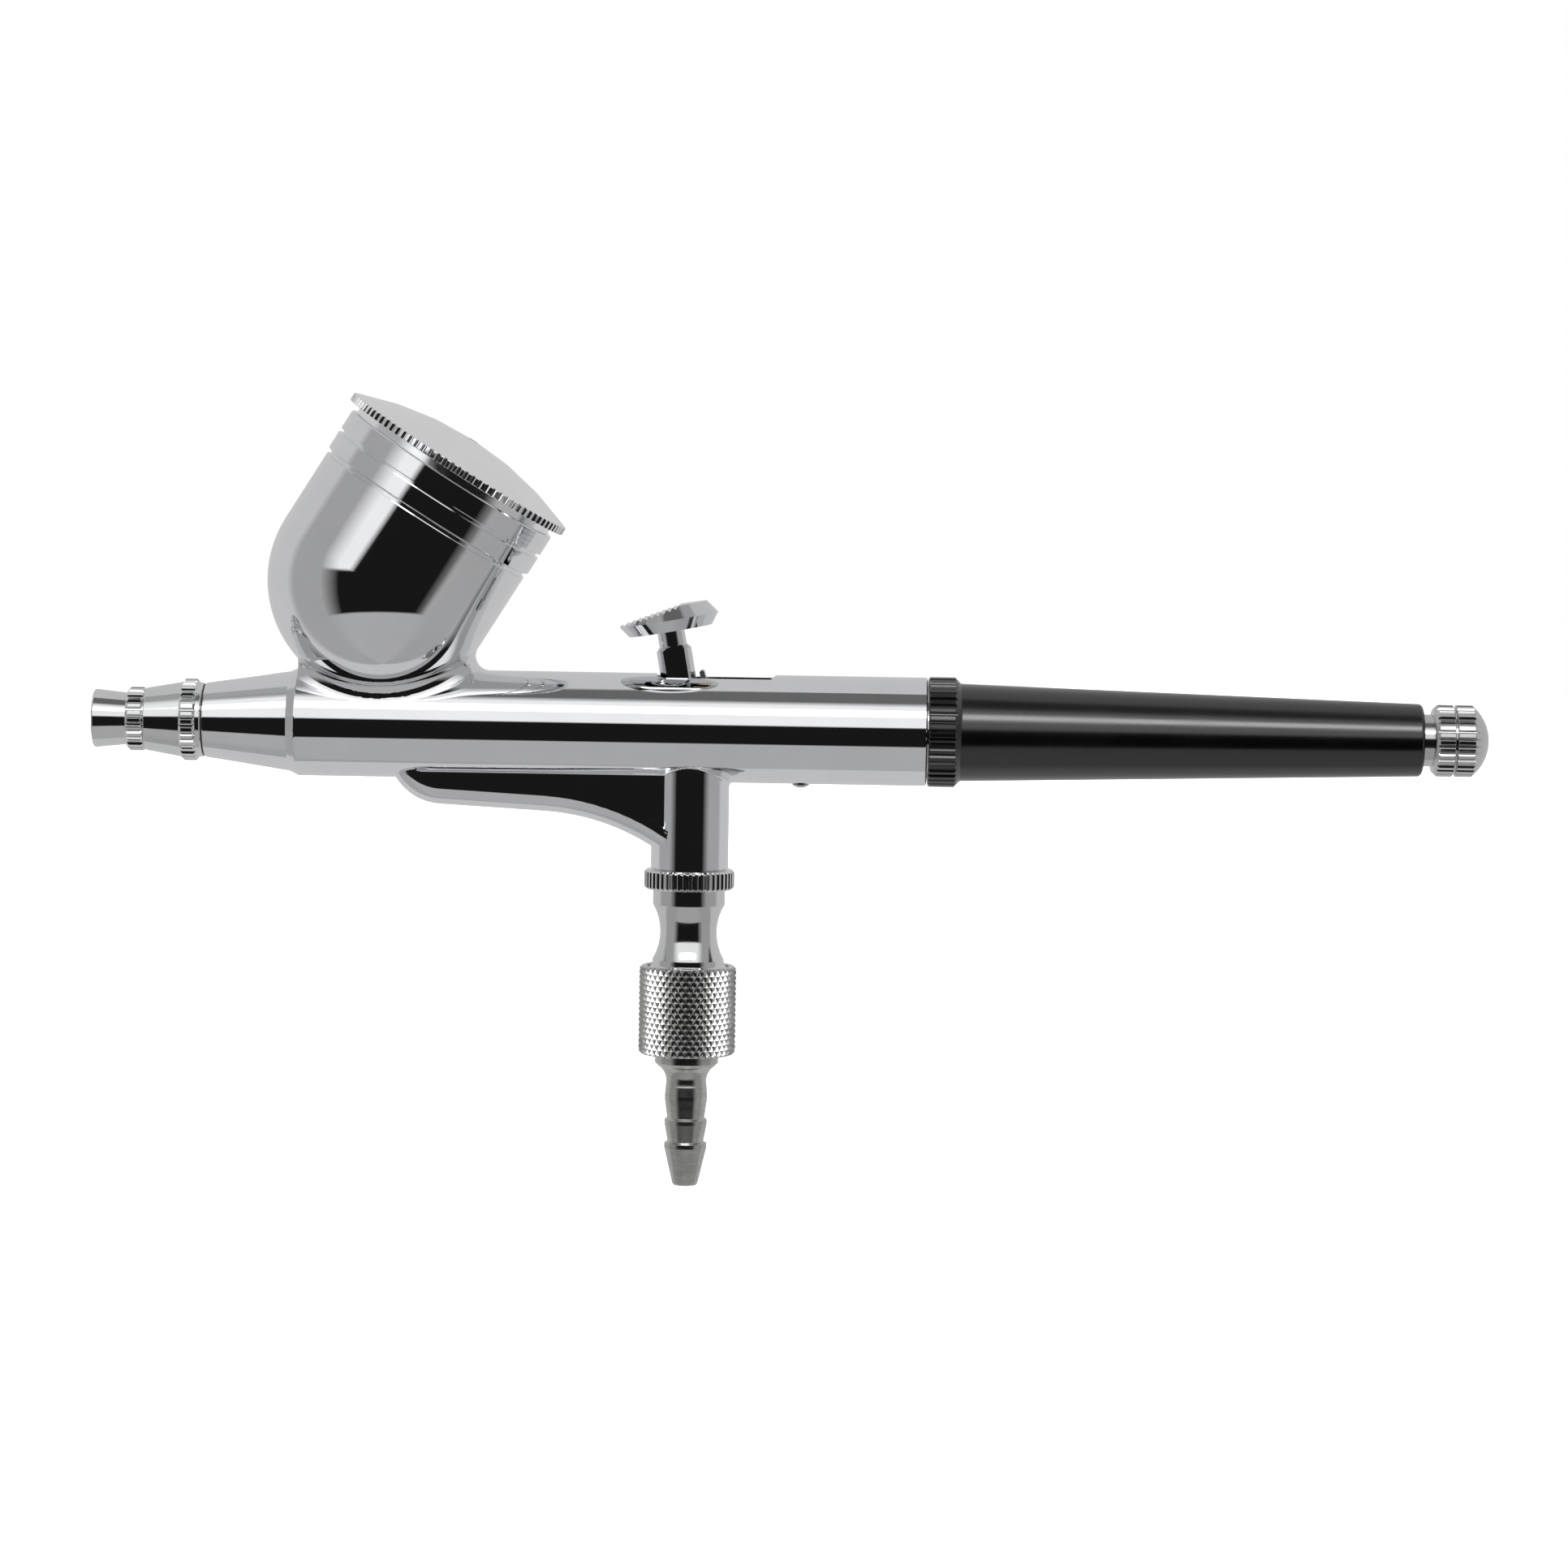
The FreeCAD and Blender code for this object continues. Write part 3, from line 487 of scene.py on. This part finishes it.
MATERIALS = {
    "body": chrome("body_chrome"),
    "lid": chrome("lid_chrome", (0.96, 0.965, 0.98), (0.10, 0.19), 0.0012),
    "front_caps": chrome("cap_chrome", (0.78, 0.785, 0.79), (0.05, 0.12), 0.0012),
    "nozzle": plain_metal("nozzle_steel", (0.55, 0.55, 0.54), (0.72, 0.72, 0.70)),
    "seal": plastic("black_rubber", (0.012, 0.010, 0.009), (0.03, 0.026, 0.022)),
    "packing": plastic("white_packing", (0.72, 0.71, 0.68), (0.84, 0.83, 0.80), (0.35, 0.5)),
    "inner_brass": plain_metal("inner_brass", (0.50, 0.37, 0.16), (0.72, 0.56, 0.28)),
    "needle": plain_metal("needle_steel", (0.62, 0.63, 0.64), (0.76, 0.77, 0.78), (0.08, 0.16)),
    "spring": spring_steel("spring_wire"),
    "trigger": chrome("trigger_chrome", (0.76, 0.765, 0.78), (0.04, 0.10), 0.001),
    "screw": plain_metal("screw_steel", (0.42, 0.42, 0.43), (0.62, 0.62, 0.63)),
    "valve": chrome("valve_chrome", (0.74, 0.745, 0.75), (0.06, 0.14), 0.0012),
    "union_nut": turned_steel(
        "nut_steel", 2, (0.44, 0.44, 0.435), (0.70, 0.70, 0.69), (0.10, 0.2), 0.2, 0.001),
    "hose_tail": turned_steel(
        "tail_steel", 2, (0.44, 0.435, 0.43), (0.62, 0.615, 0.60), (0.14, 0.26), 0.07, 0.003),
    "handle": anodised("handle_black"),
    "knob": chrome("knob_chrome", (0.62, 0.62, 0.625), (0.10, 0.20), 0.0012),
    "stop_tip": plastic("dark_plastic", (0.02, 0.02, 0.02), (0.05, 0.05, 0.05)),
}
NODE_SLOT = {row["node"]: row["material_slot"] for row in frame["record"]["subparts"]}
for node, piece in frame["nodes"].items():
    piece.data.materials.clear()
    piece.data.materials.append(MATERIALS[NODE_SLOT[node]])


def turned_node(name, node, body, outline, **options):
    """A lathe piece that stands for one CAD node and takes the material of that node's slot."""
    slot = NODE_SLOT[node]
    return lathe(name, body, slot, MATERIALS[slot], outline, replaces=(node,), **options)


# Spray head.
turned_node("needle_cap_turned", "needle_cap", "gun", [
    (-69.8, 2.95, 0.1),
    (-70.05, 3.15, 0.06),
    (-70.05, 3.3, 0.08),
    (-69.85, 3.43, 0.12),
    (-66.10, 3.04),
    (-66.05, 3.44, 0.05),
    (-65.75, 3.74, 0.1),
    (-64.25, 3.74, 0.1),
    (-63.95, 3.44, 0.05),
    (-63.95, 2.54),
    (-65.95, 2.54),
    (-65.95, 2.0),
], bands=[Teeth(-66.1, -63.9, 3.74, 0.26, 26)])
turned_node("nozzle_cap_turned", "nozzle_cap", "gun", [
    (-65.9, 0.75, 0.08),
    (-65.9, 2.2, 0.1),
    (-65.6, 2.5, 0.1),
    (-63.95, 2.5),
    (-63.95, 3.62, 0.06),
    (-63.85, 3.68, 0.05),
    (-59.65, 4.42),
    (-59.65, 4.5, 0.04),
    (-59.35, 4.8, 0.1),
    (-58.05, 4.8, 0.1),
    (-57.75, 4.5, 0.04),
    (-57.75, 4.38),
    (-57.3, 4.38, 0.08),
    (-57.15, 4.25, 0.04),
    (-57.15, 3.44),
    (-61.75, 3.44),
    (-64.3, 1.6),
    (-65.2, 0.75),
], bands=[Teeth(-59.7, -57.7, 4.8, 0.28, 32)])

# Air valve, union nut and hose tail.
turned_node("valve_body_turned", "valve_body", "gun", [
    (9.0, 1.6),
    (9.0, 3.0),
    (9.3, 3.26),
    (16.6, 3.26),
    (16.6, 5.0, 0.05),
    (16.9, 5.3, 0.12),
    (18.6, 5.3, 0.12),
    (18.9, 5.0, 0.05),
    (18.9, 4.24),
    (20.7, 4.24, 0.05),
    (27.2, 4.2, 23.8, 3.33),
    (27.85, 4.24, 0.1),
    (28.4, 4.75),
    (33.1, 4.75, 0.1),
    (33.5, 4.35, 0.1),
    (33.5, 1.3),
    (27.6, 1.3),
    (27.6, 2.4),
    (12.0, 2.4),
    (12.0, 1.6),
], axis=DOWN, bands=[Teeth(16.55, 18.95, 5.3, 0.25, 48)])
turned_node("union_nut_knurled", "union_nut", "nut", [
    (27.95, 4.8, 0.1),
    (27.95, 5.4, 0.12),
    (28.3, 5.74),
    (38.0, 5.74),
    (38.35, 5.4, 0.12),
    (38.35, 3.8, 0.1),
    (36.6, 3.8),
    (36.6, 4.8),
], axis=DOWN, bands=[Diamonds(28.13, 38.17, 5.74, 0.34, 42, 8)])
turned_node("hose_tail_turned", "hose_tail", "tail", [
    (34.3, 1.1),
    (34.3, 4.65, 0.1),
    (36.5, 4.65, 0.1),
    (36.5, 3.73),
    (39.4, 3.73, 0.08),
    (39.75, 3.4, 0.1),
    (42.2, 2.42, 40.6, 2.62),
    (43.25, 2.5, 0.05),
    (43.75, 2.5, 0.05),
    (45.95, 2.2, 0.05),
    (46.15, 2.5, 0.05),
    (46.65, 2.5, 0.05),
    (48.75, 2.12, 0.05),
    (48.95, 2.5, 0.05),
    (49.45, 2.5, 0.05),
    (53.75, 1.5, 0.08),
    (53.95, 1.35, 0.05),
    (53.95, 1.1, 0.05),
], axis=DOWN, columns=128)

# Handle and knob.
turned_node("handle_anodised", "handle", "gun", [
    (27.7, 5.04),
    (27.7, 6.22, 0.08),
    (27.9, 6.42, 0.08),
    (30.8, 6.42, 0.12),
    (31.45, 5.75, 0.25),
    (31.6, 5.7),
    (84.9, 4.25),
    (85.4, 3.75, 85.25, 4.1),
    (85.4, 3.1),
    (72.5, 3.1),
    (72.5, 2.8),
    (61.0, 2.8),
    (58.0, 4.3),
    (34.2, 4.3),
    (34.2, 5.04),
], bands=[Teeth(27.8, 31.42, 6.42, 0.26, 40)])
turned_node("stop_knob_turned", "stop_knob", "knob", [
    (74.0, 1.25),
    (74.0, 2.75),
    (74.3, 3.05),
    (86.6, 3.05),
    (86.6, 3.7, 0.05),
    (87.15, 4.2, 0.15),
    (88.9, 4.2, 0.08),
    (89.05, 3.8, 0.03),
    (89.15, 3.8, 0.03),
    (89.3, 4.2, 0.08),
    (91.3, 4.2, 0.3),
    dome_point(91.3, 4.2, 1.9),
    (77.2, 0.0),
    (77.2, 1.25),
], bands=[Teeth(86.9, 91.8, 4.2, 0.24, 30)])

# Cup lid.
turned_node("cup_lid_turned", "cup_lid", "lid", [
    (16.2, 0.6),
    (16.2, 11.85, 0.3),
    (12.7, 11.85),
    (12.7, 12.45, 0.05),
    (12.9, 12.65, 0.05),
    (15.33, 12.65),
    (15.33, 13.1),
    (16.2, 13.1, 0.1),
    (16.2, 14.6, 0.06),
    (17.05, 14.6, 0.06),
    (17.2, 14.25, 0.15),
    (19.895, 0.6, 19.162, 7.546),
], axis=CUP_AXIS, centre=CUP_CENTRE, bands=[Teeth(16.1, 17.3, 14.6, 0.28, 96)])

# The CAD shapes that stay.
clean_normals(frame["nodes"]["main_body"].data, [
    (X_AXIS, ORIGIN, (-57.0, 4.38), (-47.0, 5.85)),
    (X_AXIS, ORIGIN, (-47.0, 5.85), (-46.2, 6.23)),
    (X_AXIS, ORIGIN, (-45.85, 6.35), (27.4, 6.35)),
    (UP, ORIGIN, (-16.8, 4.55), (0.0, 4.55)),
    (CUP_AXIS, CUP_CENTRE, (CUP_BOWL, 13.55), (9.55, 13.55)),
    (CUP_AXIS, CUP_CENTRE, (10.25, 13.72), (12.35, 13.72)),
    (CUP_AXIS, CUP_CENTRE, (12.9, 13.72), (15.15, 13.72)),
    (CUP_AXIS, CUP_CENTRE, (CUP_BOWL, 12.75), (15.1, 12.75)),
], [(CUP_CENTRE + CUP_BOWL * CUP_AXIS, 13.55), (CUP_CENTRE + CUP_BOWL * CUP_AXIS, 12.75)])
for node in frame["nodes"]:
    if node != "main_body" and not frame["nodes"][node].hide_render:
        clean_normals(frame["nodes"][node].data)

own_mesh(frame["nodes"]["needle_spring"])
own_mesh(frame["nodes"]["valve_spring"])


# Studio: a plain pale floor and soft light from a plain room.
class Sky(Nodes):
    """World light as a function of the ray's direction, in degrees."""

    def __init__(self, name):
        world = bpy.data.worlds.new(name)
        bpy.context.scene.world = world
        world.use_nodes = True
        self.tree = world.node_tree
        self.tree.nodes.clear()
        towards = self.node("ShaderNodeTexCoord").outputs["Generated"]
        x, y, z = self.node("ShaderNodeSeparateXYZ", {0: towards}).outputs
        around = self.maths("ARCTAN2", x, self.maths("MULTIPLY", y, -1.0))
        # swing is 0 toward the front of the gun and 180 behind it; rise is 90 straight up.
        self.swing = self.maths("ABSOLUTE", self.maths("MULTIPLY", around, 180 / math.pi))
        self.rise = self.maths("MULTIPLY", self.maths("ARCSINE", z), 180 / math.pi)

    def maths(self, operation, *values):
        return self.node("ShaderNodeMath", dict(enumerate(values)), operation=operation).outputs[0]

    def step(self, value, low, high):
        """0 below low, 1 above high."""
        return self.node("ShaderNodeMapRange", {
            "Value": value, "From Min": low, "From Max": high, "To Min": 0.0, "To Max": 1.0}).outputs[0]

    def cover(self, share, under, strength):
        """Puts an even light of this strength over what is there, where share is 1."""
        light = (strength, strength, strength, 1)
        return self.node("ShaderNodeMix", {0: share, 6: under, 7: light}, data_type="RGBA").outputs[2]


def studio_light():
    """A pale table, a dark room in front, a soft box with a lamp in it, grey walls and a pale backdrop."""
    sky = Sky("studio")
    table, dark_room, soft_box, ceiling, walls, backdrop, lamp_core = 0.45, 0.01, 1.0, 0.15, 0.4, 0.6, 6.0
    light = sky.cover(1.0, (0, 0, 0, 1), table)
    light = sky.cover(sky.step(sky.rise, -31, -29), light, dark_room)
    light = sky.cover(sky.step(sky.rise, 9, 12), light, soft_box)
    light = sky.cover(sky.step(sky.rise, 55, 65), light, ceiling)
    light = sky.cover(sky.step(sky.swing, 40, 60), light, walls)
    light = sky.cover(sky.step(sky.swing, 95, 105), light, backdrop)
    lamp = sky.maths("MULTIPLY", sky.step(sky.rise, 32, 36), sky.step(sky.rise, 48, 44))
    lamp = sky.maths("MULTIPLY", lamp, sky.step(sky.swing, 35, 25))
    light = sky.cover(lamp, light, lamp_core)
    shown = sky.cover(sky.node("ShaderNodeLightPath").outputs["Is Camera Ray"], light, 1.0)
    background = sky.node("ShaderNodeBackground", {"Color": shown, "Strength": 1.0})
    sky.node("ShaderNodeOutputWorld", {"Surface": background.outputs[0]})


def floor():
    """A wide pale floor under the gun."""
    half, height = 3.0, -0.14
    mesh = bpy.data.meshes.new("floor")
    corners = [(x * half, y * half, height) for x, y in ((-1, -1), (1, -1), (1, 1), (-1, 1))]
    mesh.from_pydata(corners, [], [(0, 1, 2, 3)])
    piece = bpy.data.objects.new("floor", mesh)
    bpy.context.scene.collection.objects.link(piece)
    paint = Paint("floor_white", Roughness=0.9, Emission_Strength=1.0)
    cloud = paint.noise(400.0, 2.0, 0.5)
    paint.link("Base Color", paint.blend(cloud, (0.86, 0.86, 0.86), (0.88, 0.88, 0.88)))
    paint.shader.inputs["Emission Color"].default_value = (0.9, 0.9, 0.9, 1)
    piece.data.materials.append(paint.material)
    piece.visible_glossy = False
    piece.visible_diffuse = False


def camera():
    """A long lens a little above the barrel, level with it but for a slight roll."""
    spot = Vector((19.1, -554.6, 32.4)) * MM
    target = Vector((10.95, 0.0, -6.4)) * MM
    data = bpy.data.cameras.new("camera")
    data.sensor_width = 36.0
    data.lens = 108.9
    data.clip_start, data.clip_end = 0.01, 20.0
    piece = bpy.data.objects.new("camera", data)
    bpy.context.scene.collection.objects.link(piece)
    look = (target - spot).to_track_quat("-Z", "Y").to_matrix().to_4x4()
    piece.matrix_world = Matrix.Translation(spot) @ look @ Matrix.Rotation(math.radians(0.93), 4, "Z")
    bpy.context.scene.camera = piece


studio_light()
floor()
camera()
bpy.context.scene.view_settings.view_transform = "Standard"
